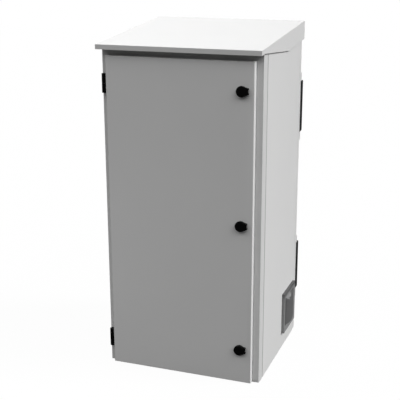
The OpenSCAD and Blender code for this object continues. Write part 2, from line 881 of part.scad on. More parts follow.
module fan_rotor() {
    hub_x0 = fan_x0 + motor_l + hub_gap;
    hub_x1 = fan_x1 - 3;
    mid = (hub_x0 + hub_x1) / 2;
    chord = (hub_x1 - hub_x0) / cos(blade_pitch) * 0.92;
    tip = fan_duct_d / 2 - blade_gap;
    color(black) at_vent() union() {
        rod_x(fan_hub_d, hub_x0, hub_x1);
        rod_x(fan_shaft_d, fan_x0 + 2 + soft_gap, hub_x0 + over);
        intersection() {
            for (i = [0 : blades_n - 1]) rotate([i * 360 / blades_n, 0, 0])
                translate([mid, 0, 0]) rotate([0, 0, blade_pitch])
                    block([-chord / 2, -blade_t / 2, fan_hub_d / 2 - 3],
                        [chord / 2, blade_t / 2, tip + 2]);
            rod_x(2 * tip, hub_x0, hub_x1);
        }
    }
}

module fan_guard() {
    ring_step = (fan_duct_d - 10) / 2 / guard_rings;
    color(zinc) difference() {
        at_vent() translate([fan_x0 - guard_t, 0, 0]) rotate([90, 0, 90]) linear_extrude(guard_t)
            union() {
                for (i = [1 : guard_rings]) difference() {
                    circle(i * ring_step + guard_wire / 2);
                    circle(i * ring_step - guard_wire / 2);
                }
                for (a = [45, 135]) rotate(a)
                    translate([-fan_hole * sqrt(2), -guard_wire / 2])
                        square([2 * fan_hole * sqrt(2), guard_wire]);
                for (sy = [-1, 1], sz = [-1, 1]) translate([sy * fan_hole, sz * fan_hole])
                    circle(fan_screw_d + 1);
            }
        at_fan_screws() translate([0, 0, -over])
            cylinder(r = fan_screw_d / 2 + screw_room, h = guard_t + 2 * over);
    }
}

module fan_screws() {
    color(zinc) at_fan_screws() union() {
        translate([0, 0, -fan_screw_d * 0.6]) cylinder(r = fan_screw_d * 0.9, h = fan_screw_d * 0.6);
        cylinder(d = fan_screw_d, h = fan_screw_l + guard_t);
    }
}

// Hat-section rail across the rear flanges, which carries the mounting plate
module mounting_rail(z) {
    h = mount_rail_h / 2;
    t = sheet_t;
    color(zinc) translate([0, 0, z]) difference() {
        along_x(-mount_rail_x, mount_rail_x) polygon([
            [plate_back, -h], [plate_back, h], [rail_back - t, h], [rail_back - t, h + mount_lip],
            [rail_back, h + mount_lip], [rail_back, h - t], [plate_back + t, h - t],
            [plate_back + t, t - h], [rail_back, t - h], [rail_back, -h - mount_lip],
            [rail_back - t, -h - mount_lip], [rail_back - t, -h]]);
        translate([0, 0, -z]) at_plate_bolts() bolt_hole(plate_t + sheet_t);
    }
}

module mounting_rail_upper() { mounting_rail(mount_rail_zs[0]); }

module mounting_rail_lower() { mounting_rail(mount_rail_zs[1]); }

module mounting_plate() {
    color(zinc) difference() {
        block([-plate_x, plate_back - plate_t, plate_z0], [plate_x, plate_back, plate_z1]);
        at_plate_bolts() bolt_hole(plate_t);
    }
}

module mounting_plate_bolts() {
    color(zinc) at_plate_bolts() bolt_set(plate_t + sheet_t);
}

module earth_stud() {
    color(brass) translate([sheet_t - half_w, earth_y, earth_z]) union() {
        rod_x(earth_d, 0, earth_l);
        for (x = [0, 2 * earth_nut_t]) translate([x, 0, 0]) difference() {
            rotate([0, 90, 0]) cylinder(d = earth_nut_af * hex_scale, h = earth_nut_t, $fn = 6);
            rod_x(earth_d + 2 * tight_room, -over, earth_nut_t + over);
        }
    }
}

// Lower half of a hinge, fixed on the frame: knuckle, foot and the pin's tight bore
module hinge_frame_half(z) {
    z0 = z - hinge_h / 2;
    z1 = z - knuckle_gap / 2;
    color(black) difference() {
        union() {
            translate([hinge_x, hinge_y, z0]) cylinder(r = hinge_r, h = z1 - z0);
            block([hinge_x - hinge_r, hinge_y, z0], [hinge_x + hinge_r, y_front, z1]);
        }
        translate([hinge_x, hinge_y, z0 + 4])
            cylinder(r = hinge_pin_d / 2 + tight_room, h = hinge_h);
        at_hinge_frame_bolts() cylinder(r = screw_d / 2 + tight_room, h = sheet_t + hinge_bolt_l + 0.3);
    }
}

module hinge_frame_half_upper() { hinge_frame_half(hinge_zs[0]); }

module hinge_frame_half_lower() { hinge_frame_half(hinge_zs[1]); }

module hinge_pins() {
    color(zinc) for (z = hinge_zs)
        translate([hinge_x, hinge_y, z - hinge_h / 2 + 4]) cylinder(d = hinge_pin_d, h = hinge_h - 8);
}

module hinge_frame_bolts() {
    color(zinc) at_hinge_frame_bolts() bolt(sheet_t, hinge_bolt_l);
}

module door_panel() {
    color(paint) difference() {
        mirror([0, 1, 0]) tray(door_x0, door_x1, -door_back, -door_face, door_z0, door_z1);
        for (i = [0 : 2]) at_lock(i) rod_y(barrel_d + 2 * screw_room, -over, sheet_t + over);
        at_hinge_door_bolts() bolt_hole(sheet_t);
    }
}

module door_gasket() {
    g = sheet_t / 2;
    color(foam) opening_ring(g - gasket_w / 2, g + gasket_w / 2, door_in, gasket_back);
}

// Hat-section stiffener welded inside the door, with a row of holes in its crown
module door_stiffener(x) {
    w = stiffener_w / 2;
    t = stiffener_t;
    y = door_in + stiffener_h;
    color(paint) translate([x, 0, 0]) difference() {
        translate([0, 0, stiffener_z0]) linear_extrude(stiffener_z1 - stiffener_z0) polygon([
            [-w - stiffener_lap, door_in], [-w + t, door_in], [-w + t, y - t], [w - t, y - t],
            [w - t, door_in], [w + stiffener_lap, door_in], [w + stiffener_lap, door_in + t],
            [w, door_in + t], [w, y], [-w, y], [-w, door_in + t], [-w - stiffener_lap, door_in + t]]);
        for (z = [stiffener_z0 + stiffener_pitch / 2 : stiffener_pitch : stiffener_z1 - stiffener_hole_d])
            translate([0, 0, z]) rod_y(stiffener_hole_d, y - t - over, y + over);
    }
}

module door_stiffener_left() { door_stiffener(-open_x - stiffener_x); }

module door_stiffener_right() { door_stiffener(open_x + stiffener_x); }

// Upper half of a hinge, fixed on the door's edge and turning on the pin
module hinge_door_half(z) {
    z0 = z + knuckle_gap / 2;
    z1 = z + hinge_h / 2;
    color(black) difference() {
        union() {
            translate([hinge_x, hinge_y, z0]) cylinder(r = hinge_r, h = z1 - z0);
            block([hinge_x, hinge_y - hinge_leaf, z0], [door_x0, hinge_y + hinge_leaf, z1]);
        }
        translate([hinge_x, hinge_y, z0 - over])
            cylinder(r = hinge_pin_d / 2 + run_room, h = hinge_h / 2 - 3 + over);
        at_hinge_door_bolts() cylinder(r = screw_d / 2 + tight_room, h = sheet_t + hinge_bolt_l + 0.3);
    }
}

module hinge_door_half_upper() { hinge_door_half(hinge_zs[0]); }

module hinge_door_half_lower() { hinge_door_half(hinge_zs[1]); }

module hinge_door_bolts() {
    color(zinc) at_hinge_door_bolts() bolt(sheet_t, hinge_bolt_l);
}

// Collar on the door, threaded barrel through it and a tapered lug with two ears for the cap's pin
module lock_housing(i) {
    root_x = collar_d / 2 * cos(lug_angle);
    root_z = collar_d / 2 * sin(lug_angle);
    color(black) at_lock(i) difference() {
        union() {
            rod_y(collar_d, -collar_h, 0);
            rod_y(barrel_d, -over, barrel_end);
            difference() {
                translate([0, lug_back, 0]) rotate([90, 0, 0]) linear_extrude(collar_h + lug_back)
                    polygon([[0, -root_z], [root_x, -root_z], [lug_x, -lug_z], [lug_x, lug_z],
                        [root_x, root_z], [0, root_z]]);
                block([collar_d / 2, -collar_h - over, -ear_z], [lug_x + over, over, ear_z]);
            }
            for (end = [0, 1]) mirror([0, 0, end])
                translate([cap_pin_x, cap_pin_y, ear_z]) cylinder(r = knuckle_r, h = ear_h);
        }
        rod_y(insert_d + 2 * run_room, -collar_h - over, barrel_end + over);
        translate([cap_pin_x, cap_pin_y, -collar_d])
            cylinder(r = cap_pin_d / 2 + tight_room, h = 2 * collar_d);
    }
}

module lock_housing_top() { lock_housing(0); }

module lock_housing_middle() { lock_housing(1); }

module lock_housing_bottom() { lock_housing(2); }

module lock_nuts() {
    color(zinc) for (i = [0 : 2]) at_lock(i) difference() {
        translate([0, sheet_t + nut_t, 0]) rotate([90, 0, 0])
            cylinder(d = nut_af * hex_scale, h = nut_t, $fn = 6);
        rod_y(barrel_d + 2 * tight_room, 0, sheet_t + nut_t + over);
    }
}

module cap_pins() {
    color(zinc) for (i = [0 : 2]) at_lock(i)
        translate([cap_pin_x, cap_pin_y, -ear_z - ear_h]) cylinder(d = cap_pin_d, h = 2 * (ear_z + ear_h));
}

// Turning insert: key socket at the front, collar behind the barrel, square tang for the cam
module lock_insert(i) {
    front = key_sink - collar_h;
    color(zinc) at_lock(i) difference() {
        union() {
            rod_y(insert_d, front, cam_y);
            rod_y(insert_d + 4, barrel_end + soft_gap, cam_y);
            block([-tang / 2, cam_y - over, -tang / 2], [tang / 2, cam_y + tang_l, tang / 2]);
        }
        block([-tang / 2, front - over, -tang / 2], [tang / 2, front + key_depth, tang / 2]);
    }
}

module lock_insert_top() { lock_insert(0); }

module lock_insert_middle() { lock_insert(1); }

module lock_insert_bottom() { lock_insert(2); }

// Cam on the insert's tang, upright while the lock is open
module lock_cam(i) {
    hole = tang + 2 * tight_room;
    color(zinc) at_lock(i) difference() {
        union() {
            rod_y(cam_w, cam_y, cam_y + cam_t);
            block([-cam_w / 2, cam_y, 0], [cam_w / 2, cam_y + cam_t, cam_reach - cam_w / 2]);
            translate([0, 0, cam_reach - cam_w / 2]) rod_y(cam_w, cam_y, cam_y + cam_t);
        }
        block([-hole / 2, cam_y - over, -hole / 2], [hole / 2, cam_y + cam_t + over, hole / 2]);
    }
}

module lock_cam_top() { lock_cam(0); }

module lock_cam_middle() { lock_cam(1); }

module lock_cam_bottom() { lock_cam(2); }

// Round dust cap with a soft front edge, a knuckle between the housing's ears and a thin
// tapered flange that covers the ears
module lock_cap(i) {
    r = cap_d / 2;
    root_x = r * cos(lug_angle);
    root_z = r * sin(lug_angle);
    color(black) at_lock(i) difference() {
        union() {
            rotate([90, 0, 0]) translate([0, 0, -cap_back]) rotate_extrude() union() {
                square([r, cap_t - cap_edge_r]);
                square([r - cap_edge_r, cap_t]);
                intersection() {
                    translate([r - cap_edge_r, cap_t - cap_edge_r]) circle(cap_edge_r);
                    translate([r - 2 * cap_edge_r, 0]) square([2 * cap_edge_r, 2 * cap_t]);
                }
            }
            translate([cap_pin_x, cap_pin_y, -cap_knuckle_h / 2]) cylinder(r = knuckle_r, h = cap_knuckle_h);
            block([cap_d / 4, cap_flange_y - soft_gap, -cap_knuckle_h / 2],
                [cap_pin_x, cap_back, cap_knuckle_h / 2]);
            translate([0, cap_flange_y, 0]) rotate([90, 0, 0])
                linear_extrude(cap_flange_y - cap_front - cap_edge_r / 3)
                polygon([[0, -root_z], [root_x, -root_z], [cap_pin_x, -lug_z], [cap_pin_x, lug_z],
                    [root_x, root_z], [0, root_z]]);
        }
        translate([cap_pin_x, cap_pin_y, -cap_knuckle_h])
            cylinder(r = cap_pin_d / 2 + run_room, h = 2 * cap_knuckle_h);
    }
}

module lock_cap_top() { lock_cap(0); }

module lock_cap_middle() { lock_cap(1); }

module lock_cap_bottom() { lock_cap(2); }

front_frame();
side_panel_left();
side_panel_right();
seam_seals();
seam_bolts();
top_panel();
base_tray();
cable_grommets();
rear_cover();
rear_cover_screws();
upper_vent_hood();
lower_vent_hood();
upper_vent_rails();
lower_vent_rails();
vent_rail_screws();
upper_filter_mat();
lower_filter_mat();
upper_filter_cassette();
lower_filter_cassette();
roof_hood();
roof_bracket_front();
roof_bracket_rear();
roof_bolts();
side_vent_frame();
side_vent_louvre();
side_vent_mat();
fan_frame();
fan_rotor();
fan_guard();
fan_screws();
mounting_rail_upper();
mounting_rail_lower();
mounting_plate();
mounting_plate_bolts();
earth_stud();
hinge_frame_half_upper();
hinge_frame_half_lower();
hinge_pins();
hinge_frame_bolts();
door_panel();
door_gasket();
door_stiffener_left();
door_stiffener_right();
hinge_door_half_upper();
hinge_door_half_lower();
hinge_door_bolts();
lock_housing_top();
lock_housing_middle();
lock_housing_bottom();
lock_nuts();
cap_pins();
lock_insert_top();
lock_insert_middle();
lock_insert_bottom();
lock_cam_top();
lock_cam_middle();
lock_cam_bottom();
lock_cap_top();
lock_cap_middle();
lock_cap_bottom();
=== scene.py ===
import math
import bpy
from mathutils import Matrix, Vector


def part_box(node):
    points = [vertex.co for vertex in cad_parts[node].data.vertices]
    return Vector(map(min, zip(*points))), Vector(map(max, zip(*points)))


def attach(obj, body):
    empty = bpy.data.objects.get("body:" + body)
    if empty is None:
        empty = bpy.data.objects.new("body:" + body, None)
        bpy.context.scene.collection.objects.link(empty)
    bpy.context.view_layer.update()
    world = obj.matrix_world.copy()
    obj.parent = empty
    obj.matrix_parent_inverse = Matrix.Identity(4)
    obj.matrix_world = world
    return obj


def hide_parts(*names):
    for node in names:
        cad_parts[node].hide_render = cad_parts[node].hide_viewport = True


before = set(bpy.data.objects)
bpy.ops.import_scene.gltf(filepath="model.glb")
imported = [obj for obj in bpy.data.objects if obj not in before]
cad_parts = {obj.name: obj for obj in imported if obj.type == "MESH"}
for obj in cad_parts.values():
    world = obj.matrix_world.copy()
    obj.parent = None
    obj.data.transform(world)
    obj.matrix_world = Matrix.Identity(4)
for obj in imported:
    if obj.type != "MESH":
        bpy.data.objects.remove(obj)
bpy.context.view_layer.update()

# Camera
# It stands to the right of the cabinet and a little above its roof, as in the photograph.
# Place, turn and lens come from the straight edges of the body, door and roof.
CAMERA_PLACE = (1.11516, -3.10355, 1.57537)
CAMERA_TURN = 20.117
CAMERA_DIP = 16.346
CAMERA_ROLL = -0.161
LENS_MM = 79.66
SENSOR_MM = 36
VIEW_DEPTH = 60
camera = bpy.data.objects.new("camera", bpy.data.cameras.new("camera"))
bpy.context.scene.collection.objects.link(camera)
camera.data.sensor_width = SENSOR_MM
camera.data.lens = LENS_MM
camera.data.clip_end = VIEW_DEPTH
camera.matrix_world = (
    Matrix.Translation(CAMERA_PLACE)
    @ Matrix.Rotation(math.radians(CAMERA_TURN), 4, "Z")
    @ Matrix.Rotation(math.radians(90 - CAMERA_DIP), 4, "X")
    @ Matrix.Rotation(math.radians(CAMERA_ROLL), 4, "Z")
)
bpy.context.scene.camera = camera

# Studio
# A pale floor in a white room that gives little light itself, so the eaves stay dark.
# A broad key lamp stands on the right, three weaker ones high in front and one behind.
# A small low lamp at the front left stands for the light that a pale floor throws back.
WHITE = (1, 1, 1, 1)
ROOM_LIGHT = 0.045
FLOOR_SIZE = 24
FLOOR_CELLS = 24
FLOOR_GLOW = 0.962
FLOOR_SEEN = (0.03, 0.03, 0.03, 1)
FLOOR_UNSEEN = (0.05, 0.05, 0.05, 1)
LOW_LAMP_PLACE = (-0.7, -1.0, 0.3)
LOW_LAMP_TOWARD = (-0.7, -0.73, -0.1)
LOW_LAMP_SIZE = 0.6
LOW_LAMP_ENERGY = 0.36
bpy.context.scene.view_settings.view_transform = "Standard"
room = bpy.data.worlds.new("room")
bpy.context.scene.world = room
room.use_nodes = True
nodes, links = room.node_tree.nodes, room.node_tree.links
nodes.clear()
seen = nodes.new("ShaderNodeLightPath")
white = nodes.new("ShaderNodeBackground")
white.inputs["Color"].default_value = WHITE
soft = nodes.new("ShaderNodeBackground")
soft.inputs["Color"].default_value = WHITE
soft.inputs["Strength"].default_value = ROOM_LIGHT
pick = nodes.new("ShaderNodeMixShader")
out = nodes.new("ShaderNodeOutputWorld")
links.new(seen.outputs["Is Camera Ray"], pick.inputs["Fac"])
links.new(soft.outputs[0], pick.inputs[1])
links.new(white.outputs[0], pick.inputs[2])
links.new(pick.outputs[0], out.inputs["Surface"])

for name, toward, energy, width in (
    ("key_lamp", (0.70, 0.13, 0.58), 2.72, 20),
    ("right_lamp", (0.56, -0.41, 0.62), 0.77, 40),
    ("front_lamp", (0.0, -0.64, 0.62), 0.44, 40),
    ("left_lamp", (-0.49, -0.41, 0.66), 0.58, 40),
    ("rear_lamp", (-0.5, 0.5, 0.7), 1.12, 60),
):
    lamp = bpy.data.objects.new(name, bpy.data.lights.new(name, "SUN"))
    bpy.context.scene.collection.objects.link(lamp)
    lamp.data.energy = energy
    lamp.data.angle = math.radians(width)
    lamp.rotation_euler = Vector(toward).to_track_quat("Z", "Y").to_euler()

low_lamp = bpy.data.objects.new("low_lamp", bpy.data.lights.new("low_lamp", "AREA"))
bpy.context.scene.collection.objects.link(low_lamp)
low_lamp.data.size = LOW_LAMP_SIZE
low_lamp.data.energy = LOW_LAMP_ENERGY
low_lamp.location = LOW_LAMP_PLACE
low_lamp.rotation_euler = Vector(LOW_LAMP_TOWARD).to_track_quat("Z", "Y").to_euler()
low_lamp.visible_camera = False

bpy.ops.object.select_all(action="DESELECT")
bpy.ops.mesh.primitive_grid_add(x_subdivisions=FLOOR_CELLS, y_subdivisions=FLOOR_CELLS, size=FLOOR_SIZE)
floor = bpy.context.object
floor.name = "floor"
floor_white = bpy.data.materials.new("floor_white")
floor_white.use_nodes = True
nodes, links = floor_white.node_tree.nodes, floor_white.node_tree.links
nodes.clear()
seen = nodes.new("ShaderNodeLightPath")
sheet = nodes.new("ShaderNodeBsdfDiffuse")
sheet.inputs["Color"].default_value = FLOOR_SEEN
glow = nodes.new("ShaderNodeEmission")
glow.inputs["Strength"].default_value = FLOOR_GLOW
bright = nodes.new("ShaderNodeAddShader")
dim = nodes.new("ShaderNodeBsdfDiffuse")
dim.inputs["Color"].default_value = FLOOR_UNSEEN
pick = nodes.new("ShaderNodeMixShader")
out = nodes.new("ShaderNodeOutputMaterial")
links.new(sheet.outputs[0], bright.inputs[0])
links.new(glow.outputs[0], bright.inputs[1])
links.new(seen.outputs["Is Camera Ray"], pick.inputs["Fac"])
links.new(dim.outputs[0], pick.inputs[1])
links.new(bright.outputs[0], pick.inputs[2])
links.new(pick.outputs[0], out.inputs["Surface"])
floor.data.materials.append(floor_white)

# Body: base tray, front frame, side panels and top panel
# Folded 2 mm sheet steel, bolted and spot-welded, then powder-coated light grey.
# The coat has a fine orange peel and its tone drifts a little, and painted shade darkens the side panels
# along the seam.
SEWN_WITHIN = 0.000002
SMOOTH_BELOW = math.radians(28)
BROKEN_ABOVE = math.radians(35)
PLAIN_EDGE = 0
LIGHT_GREY = {"light": (0.815, 0.815, 0.81), "dark": (0.785, 0.785, 0.785)}
# The front frame's grey is a darker copy of the body's grey: painted shade for the frame's strips around
# the door.
SHADED_FRAME_GREY = {"light": (0.76, 0.76, 0.755), "dark": (0.73, 0.73, 0.73)}
POWDER = {"grain_scale": 900, "cloud_scale": 3.5, "gloss": (0.38, 0.52), "relief": 0.00003}
SEAM_SHADE = (0.52, 0.52, 0.51)
SEAM_SHADE_FULL = 0.0015
SEAM_SHADE_GONE = 0.0030


def socket(group, name, kind, way):
    """One named input or output of a node group."""
    return group.interface.new_socket(name, in_out=way, socket_type="NodeSocket" + kind)


coat = bpy.data.node_groups.new("coat_grain", "ShaderNodeTree")
socket(coat, "Light Tone", "Color", "INPUT")
socket(coat, "Dark Tone", "Color", "INPUT")
socket(coat, "Grain Scale", "Float", "INPUT")
socket(coat, "Cloud Scale", "Float", "INPUT")
socket(coat, "Gloss Low", "Float", "INPUT")
socket(coat, "Gloss High", "Float", "INPUT")
socket(coat, "Tone", "Color", "OUTPUT")
socket(coat, "Roughness", "Float", "OUTPUT")
socket(coat, "Height", "Float", "OUTPUT")
nodes, links = coat.nodes, coat.links
given = nodes.new("NodeGroupInput")
made = nodes.new("NodeGroupOutput")
place = nodes.new("ShaderNodeTexCoord")
grain = nodes.new("ShaderNodeTexNoise")
grain.inputs["Detail"].default_value = 2
cloud = nodes.new("ShaderNodeTexNoise")
cloud.inputs["Detail"].default_value = 4
cloud.inputs["Roughness"].default_value = 0.6
drift = nodes.new("ShaderNodeMix")
drift.data_type = "RGBA"
speck = nodes.new("ShaderNodeMapRange")
links.new(place.outputs["Object"], grain.inputs["Vector"])
links.new(place.outputs["Object"], cloud.inputs["Vector"])
links.new(given.outputs["Grain Scale"], grain.inputs["Scale"])
links.new(given.outputs["Cloud Scale"], cloud.inputs["Scale"])
links.new(cloud.outputs["Fac"], drift.inputs["Factor"])
links.new(given.outputs["Light Tone"], drift.inputs["A"])
links.new(given.outputs["Dark Tone"], drift.inputs["B"])
links.new(grain.outputs["Fac"], speck.inputs["Value"])
links.new(given.outputs["Gloss Low"], speck.inputs["To Min"])
links.new(given.outputs["Gloss High"], speck.inputs["To Max"])
links.new(drift.outputs["Result"], made.inputs["Tone"])
links.new(speck.outputs["Result"], made.inputs["Roughness"])
links.new(grain.outputs["Fac"], made.inputs["Height"])


def coated(name, light, dark, grain_scale, cloud_scale, gloss, relief, shine=0.5):
    """A coated or moulded finish: two close tones, a fine grain and its relief in metres."""
    finish = bpy.data.materials.new(name)
    finish.use_nodes = True
    tree = finish.node_tree
    skin = tree.nodes["Principled BSDF"]
    skin.inputs["Specular IOR Level"].default_value = shine
    layer = tree.nodes.new("ShaderNodeGroup")
    layer.node_tree = coat
    layer.inputs["Light Tone"].default_value = (*light, 1)
    layer.inputs["Dark Tone"].default_value = (*dark, 1)
    layer.inputs["Grain Scale"].default_value = grain_scale
    layer.inputs["Cloud Scale"].default_value = cloud_scale
    layer.inputs["Gloss Low"].default_value = gloss[0]
    layer.inputs["Gloss High"].default_value = gloss[1]
    peel = tree.nodes.new("ShaderNodeBump")
    peel.inputs["Strength"].default_value = 0.6
    peel.inputs["Distance"].default_value = relief
    tree.links.new(layer.outputs["Tone"], skin.inputs["Base Color"])
    tree.links.new(layer.outputs["Roughness"], skin.inputs["Roughness"])
    tree.links.new(layer.outputs["Height"], peel.inputs["Height"])
    tree.links.new(peel.outputs["Normal"], skin.inputs["Normal"])
    return finish


def place_axes(finish):
    """The X, Y and Z of a point on the piece, as outputs of a node in its finish."""
    tree = finish.node_tree
    place = tree.nodes.new("ShaderNodeTexCoord")
    axes = tree.nodes.new("ShaderNodeSeparateXYZ")
    tree.links.new(place.outputs["Object"], axes.inputs[0])
    return axes.outputs


def lay_painted_shade(finish, colour, where, full, gone):
    """Lays painted shade, a darker colour, over a coated finish, full at one value of an output and gone at
    another.
    """
    tree = finish.node_tree
    shade_fade = tree.nodes.new("ShaderNodeMapRange")
    shade_fade.inputs["From Min"].default_value = full
    shade_fade.inputs["From Max"].default_value = gone
    blend = tree.nodes.new("ShaderNodeMix")
    blend.data_type = "RGBA"
    blend.inputs["A"].default_value = (*colour, 1)
    tree.links.new(where, shade_fade.inputs["Value"])
    tree.links.new(shade_fade.outputs["Result"], blend.inputs["Factor"])
    tree.links.new(tree.nodes["Group"].outputs["Tone"], blend.inputs["B"])
    tree.links.new(blend.outputs["Result"], tree.nodes["Principled BSDF"].inputs["Base Color"])


fold = bpy.data.node_groups.new("fold_shading", "GeometryNodeTree")
socket(fold, "Geometry", "Geometry", "INPUT")
socket(fold, "Geometry", "Geometry", "OUTPUT")
nodes, links = fold.nodes, fold.links
given = nodes.new("NodeGroupInput")
made = nodes.new("NodeGroupOutput")
sew = nodes.new("GeometryNodeMergeByDistance")
sew.inputs["Distance"].default_value = SEWN_WITHIN
bare = nodes.new("GeometryNodeRemoveAttribute")
bare.inputs["Name"].default_value = "custom_normal"
corner = nodes.new("GeometryNodeInputMeshEdgeAngle")
gentle = nodes.new("FunctionNodeCompare")
gentle.operation = "LESS_THAN"
gentle.inputs["B"].default_value = SMOOTH_BELOW
round_faces = nodes.new("GeometryNodeSetShadeSmooth")
round_faces.domain = "FACE"
crisp_edges = nodes.new("GeometryNodeSetShadeSmooth")
crisp_edges.domain = "EDGE"
links.new(given.outputs["Geometry"], sew.inputs["Geometry"])
links.new(sew.outputs["Geometry"], bare.inputs["Geometry"])
links.new(bare.outputs["Geometry"], round_faces.inputs["Geometry"])
links.new(round_faces.outputs["Geometry"], crisp_edges.inputs["Geometry"])
links.new(corner.outputs["Unsigned Angle"], gentle.inputs["A"])
links.new(gentle.outputs["Result"], crisp_edges.inputs["Shade Smooth"])
links.new(crisp_edges.outputs["Geometry"], made.inputs["Geometry"])


def dress(finish, edge, *names):
    """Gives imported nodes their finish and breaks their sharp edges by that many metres, if any."""
    for name in names:
        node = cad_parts[name]
        node.material_slots[0].material = finish
        joined = node.modifiers.new("joined", "NODES")
        joined.node_group = fold
        if edge == PLAIN_EDGE:
            continue
        broken = node.modifiers.new("broken_edges", "BEVEL")
        broken.width = edge
        broken.segments = 2
        broken.limit_method = "ANGLE"
        broken.angle_limit = BROKEN_ABOVE
        broken.use_clamp_overlap = False
        broken.harden_normals = True


grey_coat = coated("grey_coat", **LIGHT_GREY, **POWDER)
dress(grey_coat, PLAIN_EDGE, "base_tray", "top_panel")
# Painted shade: the front frame takes the darker copy of the grey coat.
shaded_frame_coat = coated("shaded_frame_coat", **SHADED_FRAME_GREY, **POWDER)
dress(shaded_frame_coat, PLAIN_EDGE, "front_frame")
panel_coat = coated("panel_coat", **LIGHT_GREY, **POWDER)
panel_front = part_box("side_panel_right")[0].y
# Painted shade: the side panels darken towards their front edges, along the seam with the frame.
lay_painted_shade(panel_coat, SEAM_SHADE, place_axes(panel_coat)["Y"], panel_front + SEAM_SHADE_FULL, panel_front + SEAM_SHADE_GONE)
dress(panel_coat, PLAIN_EDGE, "side_panel_left", "side_panel_right")

# Cable grommets
# Blind rubber grommets that are pressed into the cable holes of the base tray.
# Each has a thin web that the installer cuts for a cable.
GROMMET_EDGE = 0.0006
soft_black = coated("soft_black", light=(0.022, 0.022, 0.023), dark=(0.03, 0.03, 0.03),
                    grain_scale=2600, cloud_scale=30, gloss=(0.6, 0.8), relief=0.00006)
dress(soft_black, GROMMET_EDGE, "cable_grommets")

# Seam strips and seam bolts
# A foam strip is squeezed between the frame and each side panel and bulges in the seam.
# Zinc-plated bolts hold the seam together from inside.
STRIP_W = 0.014
STRIP_BULGE = 0.0011
HARDWARE_EDGE = 0.0003
foam = bpy.data.materials.new("foam")
foam.use_nodes = True
tree = foam.node_tree
skin = tree.nodes["Principled BSDF"]
skin.inputs["Roughness"].default_value = 0.88
place = tree.nodes.new("ShaderNodeTexCoord")
cells = tree.nodes.new("ShaderNodeTexVoronoi")
cells.inputs["Scale"].default_value = 1500
tone = tree.nodes.new("ShaderNodeValToRGB")
tone.color_ramp.elements[0].color = (0.012, 0.012, 0.013, 1)
tone.color_ramp.elements[1].color = (0.045, 0.045, 0.047, 1)
pores = tree.nodes.new("ShaderNodeBump")
pores.inputs["Strength"].default_value = 0.7
pores.inputs["Distance"].default_value = 0.0002
tree.links.new(place.outputs["Object"], cells.inputs["Vector"])
tree.links.new(cells.outputs["Distance"], tone.inputs["Fac"])
tree.links.new(tone.outputs["Color"], skin.inputs["Base Color"])
tree.links.new(cells.outputs["Distance"], pores.inputs["Height"])
tree.links.new(pores.outputs["Normal"], skin.inputs["Normal"])

seal_lo, seal_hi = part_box("seam_seals")
seal_middle = (seal_lo + seal_hi) / 2
seal_size = seal_hi - seal_lo
strips = []
for side in (-1, 1):
    strip_x = side * (seal_hi.x - STRIP_W / 2)
    bpy.ops.object.select_all(action="DESELECT")
    bpy.ops.mesh.primitive_cube_add(size=1, location=(strip_x, seal_middle.y, seal_middle.z))
    strip = bpy.context.object
    bpy.ops.object.mode_set(mode="EDIT")
    bpy.ops.transform.resize(value=(STRIP_W, seal_size.y, seal_size.z))
    bpy.ops.mesh.select_all(action="DESELECT")
    bpy.ops.object.mode_set(mode="OBJECT")
    for edge in strip.data.edges:
        a, b = (strip.data.vertices[i].co for i in edge.vertices)
        edge.select = side * a.x > 0 and side * b.x > 0 and abs(a.z - b.z) > seal_size.z / 2
    bpy.ops.object.mode_set(mode="EDIT")
    bpy.ops.mesh.select_mode(type="EDGE")
    bpy.ops.mesh.bevel(offset=STRIP_BULGE, segments=4, affect="EDGES")
    bpy.ops.object.mode_set(mode="OBJECT")
    bpy.ops.object.transform_apply(location=True, rotation=True, scale=True)
    bpy.ops.object.shade_smooth_by_angle(angle=math.radians(35))
    strips.append(strip)
bpy.ops.object.select_all(action="DESELECT")
for strip in strips:
    strip.select_set(True)
bpy.context.view_layer.objects.active = strips[0]
bpy.ops.object.join()
seam_strips = bpy.context.object
seam_strips.name = "seam_strips"
bpy.ops.object.transform_apply(location=True, rotation=True, scale=True)
seam_strips.data.materials.append(foam)
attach(seam_strips, "cabinet")
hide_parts("seam_seals")

zinc = bpy.data.materials.new("zinc")
zinc.use_nodes = True
tree = zinc.node_tree
skin = tree.nodes["Principled BSDF"]
skin.inputs["Metallic"].default_value = 1.0
place = tree.nodes.new("ShaderNodeTexCoord")
flakes = tree.nodes.new("ShaderNodeTexVoronoi")
flakes.inputs["Scale"].default_value = 85
flakes.inputs["Randomness"].default_value = 0.95
haze = tree.nodes.new("ShaderNodeTexNoise")
haze.inputs["Scale"].default_value = 14
haze.inputs["Detail"].default_value = 5
shade = tree.nodes.new("ShaderNodeSeparateColor")
blend = tree.nodes.new("ShaderNodeMath")
blend.operation = "MULTIPLY_ADD"
blend.inputs[1].default_value = 0.55
tone = tree.nodes.new("ShaderNodeValToRGB")
tone.color_ramp.elements[0].position = 0.25
tone.color_ramp.elements[0].color = (0.47, 0.48, 0.50, 1)
tone.color_ramp.elements[1].position = 0.95
tone.color_ramp.elements[1].color = (0.66, 0.67, 0.68, 1)
rough = tree.nodes.new("ShaderNodeMapRange")
rough.inputs["To Min"].default_value = 0.36
rough.inputs["To Max"].default_value = 0.55
tree.links.new(place.outputs["Object"], flakes.inputs["Vector"])
tree.links.new(place.outputs["Object"], haze.inputs["Vector"])
tree.links.new(flakes.outputs["Color"], shade.inputs["Color"])
tree.links.new(shade.outputs["Red"], blend.inputs[0])
tree.links.new(haze.outputs["Fac"], blend.inputs[2])
tree.links.new(blend.outputs["Value"], tone.inputs["Fac"])
tree.links.new(tone.outputs["Color"], skin.inputs["Base Color"])
tree.links.new(shade.outputs["Green"], rough.inputs["Value"])
tree.links.new(rough.outputs["Result"], skin.inputs["Roughness"])
dress(zinc, HARDWARE_EDGE, "seam_bolts")

